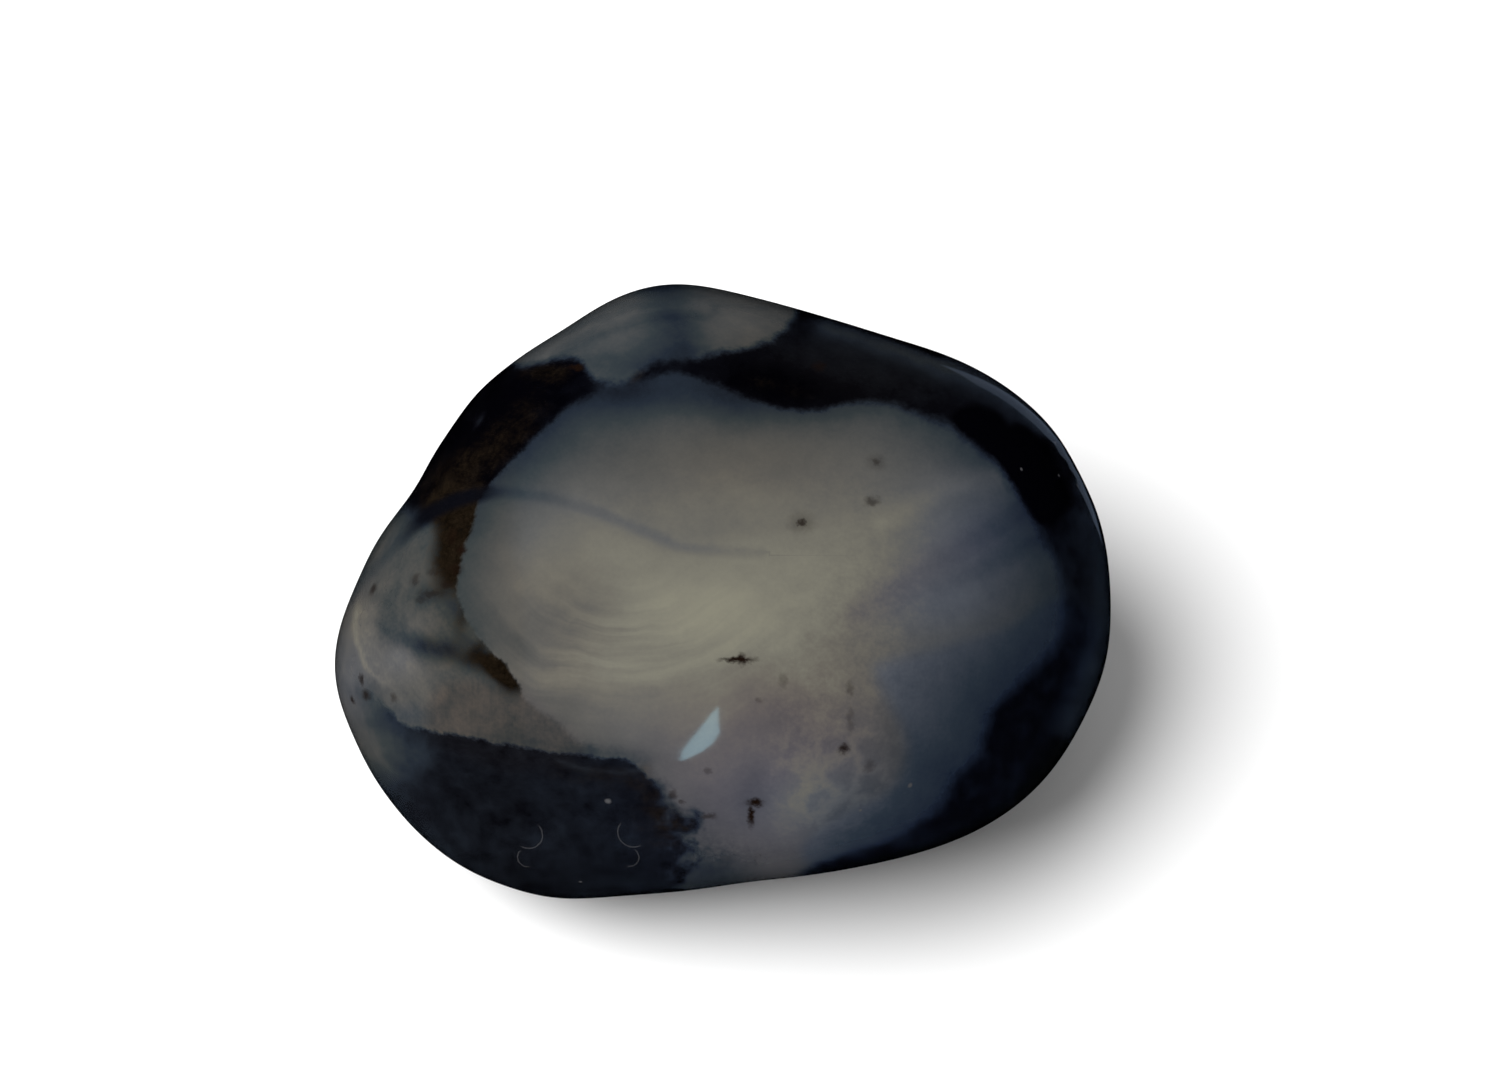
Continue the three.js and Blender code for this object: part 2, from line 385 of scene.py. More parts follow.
def main_milk(drawn, depth):
    """How thick the milk of the large cloud is, from 0 to 1: a plain with the heart on it, which slopes
    down to its shore. The slope is steep at the left and long and gentle at the right."""
    across, up = drawn.T
    right = step(across, 1.0, 7.0)
    high = step(up, 1.0, 6.0)
    plain = (
        0.78
        - 0.20 * high
        - 0.11 * step(-up, 3.2, 7.0)
        + 0.18 * spot(drawn, (-0.4, -1.0), (4.4, 1.9), -2)
        + 0.09 * spot(drawn, (5.0, 1.3), (2.2, 1.3))
        + 0.10 * spot(drawn, (3.3, -8.6), (1.6, 1.3))
        - 0.12 * spot(drawn, (1.2, -8.3), (0.9, 1.2))
        - 0.05 * spot(drawn, (-1.0, 2.2), (2.6, 0.8))
        - 0.06 * spot(drawn, (-5.2, -0.7), (2.6, 0.35), 4)
        + 0.03 * spot(drawn, (-2.6, -0.6), (3.6, 0.4), 14)
        + 0.05 * spot(drawn, (-6.8, -2.2), (2.6, 0.35), -8)
        - 0.09 * spot(drawn, (2.8, -5.0), (1.8, 1.1))
        - 0.09 * spot(drawn, (5.4, -2.5), (1.3, 1.2))
        - 0.12 * spot(drawn, (8.8, -0.6), (2.6, 1.4))
        - 0.09 * spot(drawn, (-5.3, -0.2), (1.8, 1.1))
        - 0.05 * spot(drawn, (-7.0, 1.6), (1.5, 1.2))
        + 0.06 * spot(drawn, (-4.5, 1.8), (1.6, 0.9))
        + 0.05 * spot(drawn, (1.2, 1.6), (1.4, 0.7))
        + 0.06 * spot(drawn, (5.3, -8.7), (1.5, 0.9))
        - 0.06 * spot(drawn, (-0.9, -9.4), (1.0, 1.6))
        + 0.11 * spot(drawn, (2.6, 4.6), (4.0, 1.6))
        - 0.10 * spot(drawn, (-1.2, 8.1), (1.8, 0.5))
        - 0.16 * spot(drawn, (-4.2, -6.6), (1.5, 0.35), -12)
        + 0.06 * spot(drawn, (-4.8, -3.4), (3.0, 1.5))
        - 0.05 * spot(drawn, (1.0, -3.4), (1.0, 1.4))
        - 0.05 * spot(drawn, (3.0, -10.7), (1.4, 0.6))
        - 0.06 * spot(drawn, (5.4, -6.2), (1.0, 1.3))
        - 0.04 * spot(drawn, (3.2, -8.6), (1.0, 0.8))
        + 0.03 * spot(drawn, (-2.8, -2.4), (1.8, 0.7))
        - 0.05 * spot(drawn, (9.3, 3.4), (1.3, 0.8), 30)
        - 0.30 * spot(drawn, (-0.7, -11.9), (2.6, 1.5), -12)
        - 0.10 * spot(drawn, (-4.2, 8.3), (3.6, 0.7), 12)
    )
    shore = (0.42 - 0.14 * high + 0.16 * step(-up, 1.8, 3.6)) * (1 - right) + 0.37 * right
    slope = (0.10 + 0.02 * high) * (1 - right) + (0.066 + 0.06 * high) * right
    milk = lower_of(plain, shore + slope * np.clip(depth, 0, None))
    milk += 0.11 * spot(drawn, (2.2, 6.1), (2.7, 1.2)) + 0.06 * spot(drawn, (-9.3, -2.4), (1.0, 1.2))
    milk -= 0.09 * spot(drawn, (-2.0, 7.95), (3.8, 0.7)) + 0.03 * spot(drawn, (9.3, 5.7), (1.2, 1.0))
    milk -= 0.04 * step(depth_inside(drawn, BLUE_POOL), -0.2, 0.25)
    milk -= 0.06 * bell(beside(drawn, MAUVE_STRIPE), 0.6) + 0.05 * bell(beside(drawn, SECOND_STRIPE), 0.35)
    milk += 0.08 * bell(beside(drawn, PALE_STRIPE), 0.5) + 0.06 * spot(drawn, (11.3, 4.0), (0.9, 0.7), 25)
    return milk


def left_milk(drawn):
    """The thickness of the milk in the clouded left end, which is patchy. Its pale haze is partly
    milk and partly a painted reflection of the bright floor, and the pale line along the left rim,
    with a slightly darker strip on its outer side, is the painted edge of that reflection.
    """
    across, up = drawn.T
    rim = beside(drawn, LEFT_RIM_REFLECTION_EDGE)
    along_rim = step(-up, 0.0, 0.8) * step(up, -4.4, -3.4)
    return (
        0.52
        - 0.05 * step(up, -0.8, 2.2)
        + 0.13 * spot(drawn, (-15.4, -3.2), (0.7, 1.8))
        + 0.08 * spot(drawn, (-15.2, -1.0), (0.5, 1.0))
        - 0.08 * spot(drawn, (-13.9, -0.3), (0.9, 0.5))
        - 0.14 * spot(drawn, (-14.8, -4.2), (0.7, 0.45), -20)
        - 0.06 * spot(drawn, (-12.9, -5.0), (0.9, 0.4))
        + 0.05 * spot(drawn, (-12.1, -4.3), (0.7, 0.4))
        - 0.07 * spot(drawn, (-10.0, -4.7), (1.6, 0.8))
        - 0.04 * spot(drawn, (-8.2, -5.8), (1.6, 0.8))
        - 0.09 * spot(drawn, (-5.6, -6.7), (2.0, 0.45))
        - 0.11 * spot(drawn, (-10.4, -2.0), (0.5, 0.4))
        - 0.06 * spot(drawn, (-11.4, -0.9), (0.8, 0.6))
        + 0.04 * spot(drawn, (-13.2, -0.3), (0.6, 0.5))
        + 0.05 * spot(drawn, (-15.2, -4.6), (0.6, 0.8))
        + 0.17 * spot(drawn, (-13.6, -3.0), (1.2, 1.0))
        + 0.17 * spot(drawn, (-14.5, -1.2), (0.5, 1.2))
        # Painted reflection edge: a pale line along the left rim, and a slightly darker strip on its outer
        # side.
        + 0.10 * bell(rim, 0.12) * along_rim
        - 0.03 * step(-rim, 0.0, 0.2) * along_rim
        - 0.15 * bell(beside(drawn, BLUE_SMEAR), 0.40)
        - 0.16 * bell(beside(drawn, BROWN_SMEAR), 0.6) * (0.7 + 0.3 * step(across, -11.4, -9.6))
        - 0.14 * spot(drawn, (-10.8, -0.9), (0.7, 1.3), -20)
        - 0.12 * spot(drawn, (-11.9, -0.2), (1.3, 0.45))
    )


def glass_milk(drawn, solid):
    """How pale the dark glass is drawn, with a little milk in it: a mist at the lower left and, at
    the upper right, a painted sheen with a painted dark reflection line along the rim outside it and
    the blackest glass in BLACK_BLOB, where the painted sheen stops. A painted reflection pales the
    right rim, and a small painted sheen the upper left rim. It fades out toward the back."""
    across, up = drawn.T
    fade = step(solid[:, 2], -2.2, 0.8)
    return 0.05 * (1 - fade) + fade * (
        0.10
        + 0.07 * step(-0.55 * across - 0.83 * up, 4.5, 8.5)
        - 0.04 * spot(drawn, (-10.6, -8.4), (1.8, 1.6))
        + 0.05 * spot(drawn, (-12.6, -6.6), (1.6, 0.9))
        + 0.36 * bell(beside(drawn, MIST_LINE), 1.5) * (1 - 0.85 * step(-up, 5.8, 8.8))
        # Painted sheen: this spot and the line below draw the upper right band paler, a painted reflection.
        + 0.06 * spot(drawn, (5.4, 9.2), (3.0, 1.0), -14)
        + 0.22 * bell(beside(drawn, SHEEN_LINE), 0.55)
        # Painted dark reflection along the upper right rim.
        - 0.20 * bell(beside(drawn, DARK_RIM_REFLECTION_LINE), 0.18)
        + 0.10 * bell(beside(drawn, ORANGE_LINE), 0.12)
        # Painted reflection: the glass is drawn paler along the right rim.
        + 0.17 * bell(beside(drawn, RIGHT_RIM_REFLECTION), 0.6)
        + 0.06 * spot(drawn, (14.0, -0.8), (0.9, 3.2))
        - 0.22 * step(depth_inside(drawn, BLACK_BLOB), -0.35, 0.30)
        - 0.16 * spot(drawn, (-9.1, 6.9), (3.8, 1.6), 50)
        - 0.12 * spot(drawn, (2.2, 8.4), (2.6, 0.8), -12)
        - 0.05 * spot(drawn, (-6.6, 8.8), (1.2, 0.7))
        + 0.16 * spot(drawn, (-4.0, 8.35), (1.2, 0.4))
        # Painted sheen: a small pale stroke on the upper left rim.
        + 0.20 * spot(drawn, (-9.9, 7.0), (0.5, 0.14), 55)
    )


def cap_milk(drawn):
    """The thickness of the milk over the crest, with a thinner and bluer streak down its middle."""
    across, up = drawn.T
    return (
        0.52
        - 0.17 * bell(across + 1.8 + 0.25 * (up - 10.5), 1.1)
        - 0.15 * spot(drawn, (-3.2, 9.3), (2.6, 0.8))
        + 0.05 * bell(beside(drawn, CREST_LINE), 0.16)
        - 0.04 * bell(beside(drawn, CREST_LINE) + 0.45, 0.16)
        + 0.05 * spot(drawn, (0.8, 11.2), (1.4, 0.8))
        - 0.05 * step(up, 11.9, 12.6)
    )


def cloud_fields(points):
    """What the material needs to know at each point, by name: depths in millimetres, thicknesses of
    milk from 0 to 1, in places with painted sheen and rim reflections in them, and the strengths of
    tints and stains from 0 to 1."""
    drawn, out = draw_on_face(points)
    drawn = lean_behind(drawn, out)
    across, up = drawn.T
    solid = points @ FACE.T
    front = step(out, -2.0, 1.0)
    main = depth_inside(drawn, MAIN_CLOUD)
    pool = step(depth_inside(drawn, BLUE_POOL), -0.4, 0.6)
    tan_patch = depth_inside(drawn, TAN_PATCH)
    clouds_behind = [blob_depth(solid, centre, radii) for centre, radii in CLOUDS_BEHIND]
    return {
        "main": np.minimum(main, rounded_end(solid, (1.0, -2.0, 2.0), (19.0, 15.5, 8.5))),
        "left": np.minimum(
            depth_inside(drawn, LEFT_CLOUD), rounded_end(solid, (-12.0, -2.0, 2.0), (11.5, 9.5, 7.6))
        ),
        "cap": np.minimum(
            depth_inside(drawn, CAP_CLOUD), rounded_end(solid, (-2.5, 11.5, 0.5), (9.5, 9.5, 6.6))
        ),
        "behind": np.max(clouds_behind, 0),
        "main_milk": main_milk(drawn, main),
        "left_milk": left_milk(drawn),
        "cap_milk": cap_milk(drawn),
        "glass_milk": glass_milk(drawn, solid),
        "front": front,
        "loose": step(-out, 0.5, 5.0),
        "sharp": (
            3.0 + 5.0 * spot(drawn, (-9.5, -1.0), (2.5, 6.0)) * front - 1.5 * step(across, 4, 9)
            - 2.4 * spot(drawn, (-2.1, -9.4), (2.2, 3.3)) * front
        ),
        "left_sharp": np.clip(
            8.0 - 7.2 * step(-across, 12.9, 14.6)
            - 6.8 * step(up, 0.2, 1.4) * step(-across, 9.2, 11.0), 0.8, None
        ),
        "flow": beside(drawn, FLOW),
        "streaks": front * np.clip(
            spot(drawn, (-4.6, -2.4), (6.0, 2.3), 3) + 0.5 * spot(drawn, (-12.5, -1.5), (2.5, 2.5))
            + 0.2 * spot(drawn, (10.5, 2.6), (3.0, 2.4), 30), 0, 1
        ),
        "vein": beside(drawn, DARK_VEIN),
        "vein_dark": step(-across, 8.6, 10.2) * step(across, -13.6, -12.0),
        "cells": spot(drawn, (4.5, -7.4), (2.7, 3.0), 20) * front,
        "mottled": spot(drawn, (5.2, -2.6), (3.2, 5.5), -20) * front,
        "frayed": spot(drawn, (-1.8, -10.2), (2.4, 2.2)) * front,
        "crumbs": spot(drawn, (-0.4, -10.9), (2.2, 0.9), -8) * front,
        "smooth_glass": front * spot(drawn, (5.0, 8.8), (5.5, 2.0), -12),
        "warm": front * np.clip(
            spot(drawn, (1.0, 5.5), (7.0, 2.2)) + 0.6 * spot(drawn, (3.0, -3.6), (4.0, 3.0))
            + 0.7 * step(-across, 3.0, 7.0) * step(-up, -2.5, 0.0)
            + 0.9 * step(-across, 7.8, 9.2) - 0.8 * spot(drawn, (-13.3, -2.7), (1.4, 1.1))
            + 1.4 * spot(drawn, (5.0, 9.0), (5.0, 1.6)), 0, 1
        ),
        "cool": front * np.clip(
            pool + spot(drawn, (11.0, 2.0), (3.0, 3.0)) + 0.7 * spot(drawn, (3.2, -8.8), (4.4, 2.2))
            + 0.8 * spot(drawn, (-15.4, -3.6), (1.2, 2.2)) + 0.6 * spot(drawn, (8.8, -0.8), (2.6, 1.4))
            + 0.5 * spot(drawn, (-12.9, -5.0), (0.9, 0.5)) + 0.5 * spot(drawn, (-13.2, -2.7), (1.0, 1.2))
            + 0.2 * bell(beside(drawn, DARK_VEIN), 0.35), 0, 1
        ),
        "weave": front * step(tan_patch, -0.4, 0.2),
        "lilac": front * np.clip(
            1.4 * spot(drawn, (2.0, -7.4), (5.0, 4.4)) * (1 - pool)
            - 1.2 * spot(drawn, (3.8, -8.7), (2.6, 1.5)) + 0.5 * bell(beside(drawn, MAUVE_STRIPE), 0.9)
            + 0.5 * step(tan_patch, -0.5, 0.4), 0, 1
        ),
        "tan": front * np.clip(
            0.7 * step(tan_patch, -0.5, 0.4)
            + 0.6 * spot(drawn, (-11.2, 0.4), (1.2, 1.2))
            + 0.9 * spot(drawn, (-10.6, -1.5), (1.1, 1.5), -20)
            + 0.5 * bell(beside(drawn, BROWN_SMEAR), 0.5)
            + 0.9 * bell(beside(drawn, ORANGE_LINE), 0.2)
            + 0.9 * spot(drawn, (5.5, 8.6), (5.5, 1.5), -14), 0, 1
        ),
        "rust": front * np.clip(
            1.1 * step(depth_inside(drawn, RUST_PATCH), -0.8, 0.45)
            + 0.50 * spot(drawn, (-11.6, 0.1), (1.0, 0.6))
            + 0.60 * spot(drawn, (-10.6, -0.9), (0.40, 1.1), -14)
            + 0.55 * spot(drawn, (-9.9, -2.1), (0.30, 0.8), -38)
            + 0.60 * spot(drawn, (-11.2, 4.7), (1.7, 0.9), 38)
            + 0.50 * spot(drawn, (-8.6, 6.5), (2.4, 0.9), 45)
            + 0.30 * spot(drawn, (2.3, 8.3), (2.0, 0.5), -14)
            + 0.50 * spot(drawn, (-7.2, 9.0), (1.4, 0.4))
            + 0.60 * spot(drawn, (-3.5, 8.7), (0.6, 0.25), 50)
            + 0.75 * bell(beside(drawn, BROWN_SMEAR), 0.55) * (0.4 + 0.6 * step(across, -11.4, -9.6))
            + 0.42 * spot(drawn, (-2.7, -9.4), (1.2, 1.6), 20)
            + 0.45 * spot(drawn, (-1.9, -9.3), (1.1, 0.7), -30)
            + 0.45 * spot(drawn, (-4.8, -7.6), (2.6, 0.6), -6)
            + 1.1 * spot(drawn, (-9.1, -3.25), (0.8, 0.42), -40), 0, 1.2
        ),
    }


def new_mesh(name, points, faces, fields):
    """A smooth-shaded mesh object in metres at the origin, with its fields as attributes."""
    mesh = bpy.data.meshes.new(name)
    mesh.from_pydata((points * MM).tolist(), [], faces.tolist())
    for field, values in fields.items():
        attribute = mesh.attributes.new(field, "FLOAT", "POINT")
        attribute.data.foreach_set("value", values.astype(np.float32))
    mesh.shade_smooth()
    mesh.update()
    piece = bpy.data.objects.new(name, mesh)
    bpy.context.scene.collection.objects.link(piece)
    return piece


class Value:
    """A number or colour on its way through a material. Arithmetic on it adds the Math nodes."""

    def __init__(self, tree, socket):
        self.tree = tree
        self.socket = socket

    def math(self, operation, first, second=None):
        inputs = {0: first} if second is None else {0: first, 1: second}
        return self.tree.node("ShaderNodeMath", {"operation": operation}, inputs)

    def __add__(self, other):
        return self.math("ADD", self, other)

    def __sub__(self, other):
        return self.math("SUBTRACT", self, other)

    def __rsub__(self, other):
        return self.math("SUBTRACT", other, self)

    def __mul__(self, other):
        return self.math("MULTIPLY", self, other)

    def __abs__(self):
        return self.math("ABSOLUTE", self)

    __radd__ = __add__
    __rmul__ = __mul__

    def most(self, other):
        return self.math("MAXIMUM", self, other)

    def toward(self, other, factor):
        """This value where the factor is 0, the other where it is 1."""
        return self.tree.node("ShaderNodeMix", {"data_type": "FLOAT"}, {0: factor, 2: self, 3: other})

    def rise(self, low, high):
        """0 below low, 1 above high and a smooth step between them. It falls where low is above high."""
        settings = {"interpolation_type": "SMOOTHSTEP", "clamp": True}
        inputs = {0: self, 1: low, 2: high, 3: 0.0, 4: 1.0}
        if low > high:
            inputs.update({1: high, 2: low, 3: 1.0, 4: 0.0})
        return self.tree.node("ShaderNodeMapRange", settings, inputs)


class Tree:
    """The nodes of one material."""

    def __init__(self, name):
        self.material = bpy.data.materials.new(name)
        self.material.use_nodes = True
        self.tree = self.material.node_tree
        self.tree.nodes.clear()

    def node(self, kind, settings=None, inputs=None, output=0):
        """Adds a node, with its settings set first and then its sockets' values or links."""
        node = self.tree.nodes.new(kind)
        for name, value in (settings or {}).items():
            if name == "stops":
                self.set_stops(node.color_ramp, value)
            else:
                setattr(node, name, value)
        for key, value in (inputs or {}).items():
            if isinstance(value, Value):
                self.tree.links.new(value.socket, node.inputs[key])
            else:
                node.inputs[key].default_value = value
        return Value(self, node.outputs[output]) if len(node.outputs) else None

    def set_stops(self, ramp, stops):
        """Gives a colour ramp its stops: positions and colours, from the lowest."""
        while len(ramp.elements) > 1:
            ramp.elements.remove(ramp.elements[-1])
        ramp.elements[0].position, ramp.elements[0].color = stops[0]
        for position, value in stops[1:]:
            ramp.elements.new(position).color = value

    def field(self, name):
        """A field of the mesh."""
        return self.node("ShaderNodeAttribute", {"attribute_name": name}, output="Fac")

    def noise(self, place, scale, detail=3.0, roughness=0.5, output="Fac"):
        """Cloudy noise. Its features are about 1 / scale millimetres across."""
        inputs = {"Vector": place, "Scale": scale, "Detail": detail, "Roughness": roughness}
        return self.node("ShaderNodeTexNoise", {"noise_dimensions": "3D"}, inputs, output)

    def mix(self, first, second, factor):
        """The first colour where the factor is 0, the second where it is 1."""
        settings = {"data_type": "RGBA", "clamp_factor": True}
        return self.node("ShaderNodeMix", settings, {0: factor, 6: first, 7: second}, output=2)

    def tint(self, colour, factor):
        """A colour times a number."""
        return self.vector("SCALE", colour, scale=factor)

    def vector(self, operation, first, second=None, scale=None, output=0):
        inputs = {0: first}
        if second is not None:
            inputs[1] = second
        if scale is not None:
            inputs[3] = scale
        return self.node("ShaderNodeVectorMath", {"operation": operation}, inputs, output)


def colour(values):
    """A colour property as a socket takes it."""
    return (*values, 1.0)


def colour_property(name, description, default):
    return bpy.props.FloatVectorProperty(
        name=name, description=description, subtype="COLOR", size=3, min=0.0, max=1.0, default=default
    )


class PebbleShape(bpy.types.PropertyGroup):
    """Sizes of the stone's fine surface."""

    rows: bpy.props.IntProperty(
        name="Rows", description="Faces along each edge of the cube that the surface is spread from",
        default=120, min=8, max=128,
    )
    wave_height: bpy.props.FloatProperty(
        name="Wave height", description="How far the polished surface wanders from its flats",
        default=0.015 * MM, min=0.0, subtype="DISTANCE", unit="LENGTH",
    )


class PebbleFinish(bpy.types.PropertyGroup):
    """Colours and gloss of the stone."""

    empty: colour_property("Empty", "Black glass with no milk in it", (0.0005, 0.0005, 0.0012))
    trace: colour_property("Trace", "A trace of milk", (0.0018, 0.0020, 0.0034))
    faint: colour_property("Faint", "Very thin milk, navy", (0.0056, 0.0074, 0.0116))
    thin: colour_property("Thin", "Thin milk, blue", (0.0112, 0.0162, 0.0250))
    veil: colour_property("Veil", "A veil of milk, grey-blue", (0.0235, 0.0305, 0.0355))
    haze: colour_property("Haze", "A haze of milk", (0.0450, 0.0485, 0.0510))
    milk: colour_property("Milk", "Plain milk, grey", (0.0700, 0.0710, 0.0695))
    cream: colour_property("Cream", "Thick milk", (0.1030, 0.0990, 0.0840))
    thick: colour_property("Thick", "Thicker milk", (0.1370, 0.1320, 0.1060))
    heart: colour_property("Heart", "The thickest milk, olive", (0.1700, 0.1640, 0.1250))
    warm: colour_property("Warm", "What warm milk is multiplied by", (1.0, 0.93, 0.84))
    lilac: colour_property("Lilac", "What lilac milk is multiplied by", (1.0, 0.91, 0.98))
    cool: colour_property("Cool", "What cool milk is multiplied by", (0.90, 1.0, 1.26))
    tan: colour_property("Tan", "What tan milk is multiplied by", (1.0, 0.88, 0.76))
    rust: colour_property("Rust", "The rusty stain in the glass", (0.0060, 0.0040, 0.0023))
    speck: colour_property("Speck", "Black and brown specks", (0.0065, 0.0032, 0.0020))
    # The same colour draws the pale dots and the painted glints among them.
    mark: colour_property("Mark", "The pale crescent marks", (0.0600, 0.0600, 0.0640))
    roughness: bpy.props.FloatProperty(
        name="Roughness", description="How much the polish blurs a reflection",
        default=0.05, min=0.0, max=1.0, subtype="FACTOR",
    )


class PebbleStage(bpy.types.PropertyGroup):
    """Camera, floor and lights."""

    lens: bpy.props.FloatProperty(
        name="Lens", description="Focal length on a full-frame camera, in millimetres",
        default=100.0, min=10.0, unit="CAMERA",
    )
    floor_colour: colour_property("Floor", "The pale floor", (0.88, 0.88, 0.88))
    sun_strength: bpy.props.FloatProperty(
        name="Key light", description="Strength of the soft key light", default=5.0, min=0.0,
    )
    sky_strength: bpy.props.FloatProperty(
        name="Fill light", description="Strength of the even light from all round", default=0.33, min=0.0,
    )
    window_glow: bpy.props.FloatProperty(
        name="Windows", description="Brightness of what the polish mirrors", default=5.0, min=0.0,
    )


# Thickness of milk from 0 to 1, and the colour it has.
MILK_STOPS = (
    (0.0, "empty"), (0.10, "trace"), (0.20, "faint"), (0.30, "thin"), (0.42, "veil"), (0.53, "haze"),
    (0.65, "milk"), (0.76, "cream"), (0.88, "thick"), (1.0, "heart"),
)

# Specks: place across and up the face, half width, half height, and how dark they are.
SPECKS = [
    (3.3, 2.7, 0.46, 0.38, 0.3), (3.3, 2.7, 0.20, 0.17, 0.85), (6.15, 3.6, 0.26, 0.18, 0.6),
    (6.4, 5.2, 0.34, 0.30, 0.25), (6.4, 5.2, 0.18, 0.16, 0.6),
    (0.65, -2.8, 0.60, 0.10, 1.0), (0.75, -2.9, 0.18, 0.20, 1.0),
    (1.2, -8.75, 0.30, 0.16, 1.0), (1.15, -9.2, 0.12, 0.55, 1.0),
    (4.9, -6.5, 0.22, 0.18, 0.9), (5.2, -4.1, 0.16, 0.25, 0.4), (5.2, -5.3, 0.14, 0.45, 0.3),
    (2.4, -3.7, 0.16, 0.25, 0.3), (1.4, -4.6, 0.14, 0.12, 0.3), (-0.6, -7.4, 0.14, 0.12, 0.4),
    (-2.0, -8.3, 0.16, 0.20, 0.6), (-1.7, -8.6, 0.12, 0.10, 0.6), (-0.8, -9.3, 0.30, 0.12, 0.6),
    (6.0, -7.3, 0.20, 0.24, 0.35), (4.0, 9.15, 0.25, 0.22, 0.5), (-5.9, 9.2, 0.30, 0.12, 1.0),
    (-10.65, 1.75, 0.20, 0.16, 0.9), (-11.1, 2.3, 0.22, 0.30, 0.6), (-10.9, 0.9, 0.30, 0.20, 0.5),
    (-11.3, 0.3, 0.22, 0.16, 0.6), (-11.9, 0.9, 0.26, 0.16, 0.4), (-12.4, -0.3, 0.34, 0.12, 0.4),
    (-14.3, 0.1, 0.28, 0.22, 0.7), (-12.6, 0.5, 0.25, 0.22, 0.5),
    (-11.9, -0.1, 0.60, 0.14, 0.5), (-14.8, -3.6, 0.16, 0.22, 0.8), (-14.6, -4.1, 0.30, 0.20, 0.8),
    (-15.2, -4.4, 0.24, 0.14, 0.8), (-13.5, -4.2, 0.20, 0.18, 0.5),
]

# Crescent marks, as arcs on the face: middle, radius, and the middle of the arc as a turn in degrees.
CRESCENTS = [
    ((-8.0, -9.9), 0.60, -40.0), ((-8.1, -10.86), 0.38, 205.0),
    ((-3.7, -9.9), 0.60, 220.0), ((-3.95, -10.86), 0.40, -25.0),
]
# Pale dots and painted glints: place across and up the face, and radius. The dots at (-4.75, -8.6)
# and (7.7, -8.1), and at (13.85, 4.6), (14.6, 4.2) and (13.7, 5.9) by the chips of the right
# shoulder, are painted glints.
PALE_DOTS_AND_GLINTS = [
    (-4.75, -8.6, 0.13), (7.7, -8.1, 0.10), (-5.9, -11.9, 0.08), (5.6, -9.0, 0.07), (12.3, 4.8, 0.07),
    (13.85, 4.6, 0.07), (14.6, 4.2, 0.08), (13.7, 5.9, 0.09),
]


def on_stone(points, across, up):
    """The point of the front surface that is drawn nearest to a place on the face, on the face's axes."""
    drawn, out = draw_on_face(points)
    away = np.hypot(drawn[:, 0] - across, drawn[:, 1] - up) + np.where(out > 0, 0, 1000)
    return tuple((points @ FACE.T)[np.argmin(away)])


def strongest(values):
    """The greatest of several values at each place."""
    result = values[0]
    for value in values[1:]:
        result = result.most(value)
    return result


def specks(tree, shaken, points):
    """How dark each place is with specks. A speck is an oval, and its edge is as broken as its place."""
    found = []
    for across, up, half_width, half_height, strength in SPECKS:
        away = tree.vector("SUBTRACT", shaken, on_stone(points, across, up))
        widths = (1 / half_width, 1 / half_height, 1 / max(half_width, half_height))
        share = tree.vector("LENGTH", tree.vector("MULTIPLY", away, widths), output="Value")
        found.append(share.rise(1.7, 0.3) * strength)
    return strongest(found)


def pale_marks_and_glints(tree, place, points):
    """The thin crescents, and the pale dots, some of which are painted glints."""
    found = []
    for (across, up), radius, turn in CRESCENTS:
        away = tree.vector("SUBTRACT", place, on_stone(points, across, up))
        away = tree.vector("MULTIPLY", away, (1.0, 1.0, 0.0))
        heading = (math.cos(math.radians(turn)), math.sin(math.radians(turn)), 0.0)
        side = tree.vector("DOT_PRODUCT", away, heading, output="Value")
        ring = abs(tree.vector("LENGTH", away, output="Value") - radius)
        found.append(ring.rise(0.036, 0.006) * side.rise(0.05 * radius, 0.45 * radius) * 0.5)
    for across, up, radius in PALE_DOTS_AND_GLINTS:
        away = tree.vector("SUBTRACT", place, on_stone(points, across, up))
        found.append(tree.vector("LENGTH", away, output="Value").rise(radius * 1.4, radius * 0.4))
    return strongest(found) * tree.field("front")


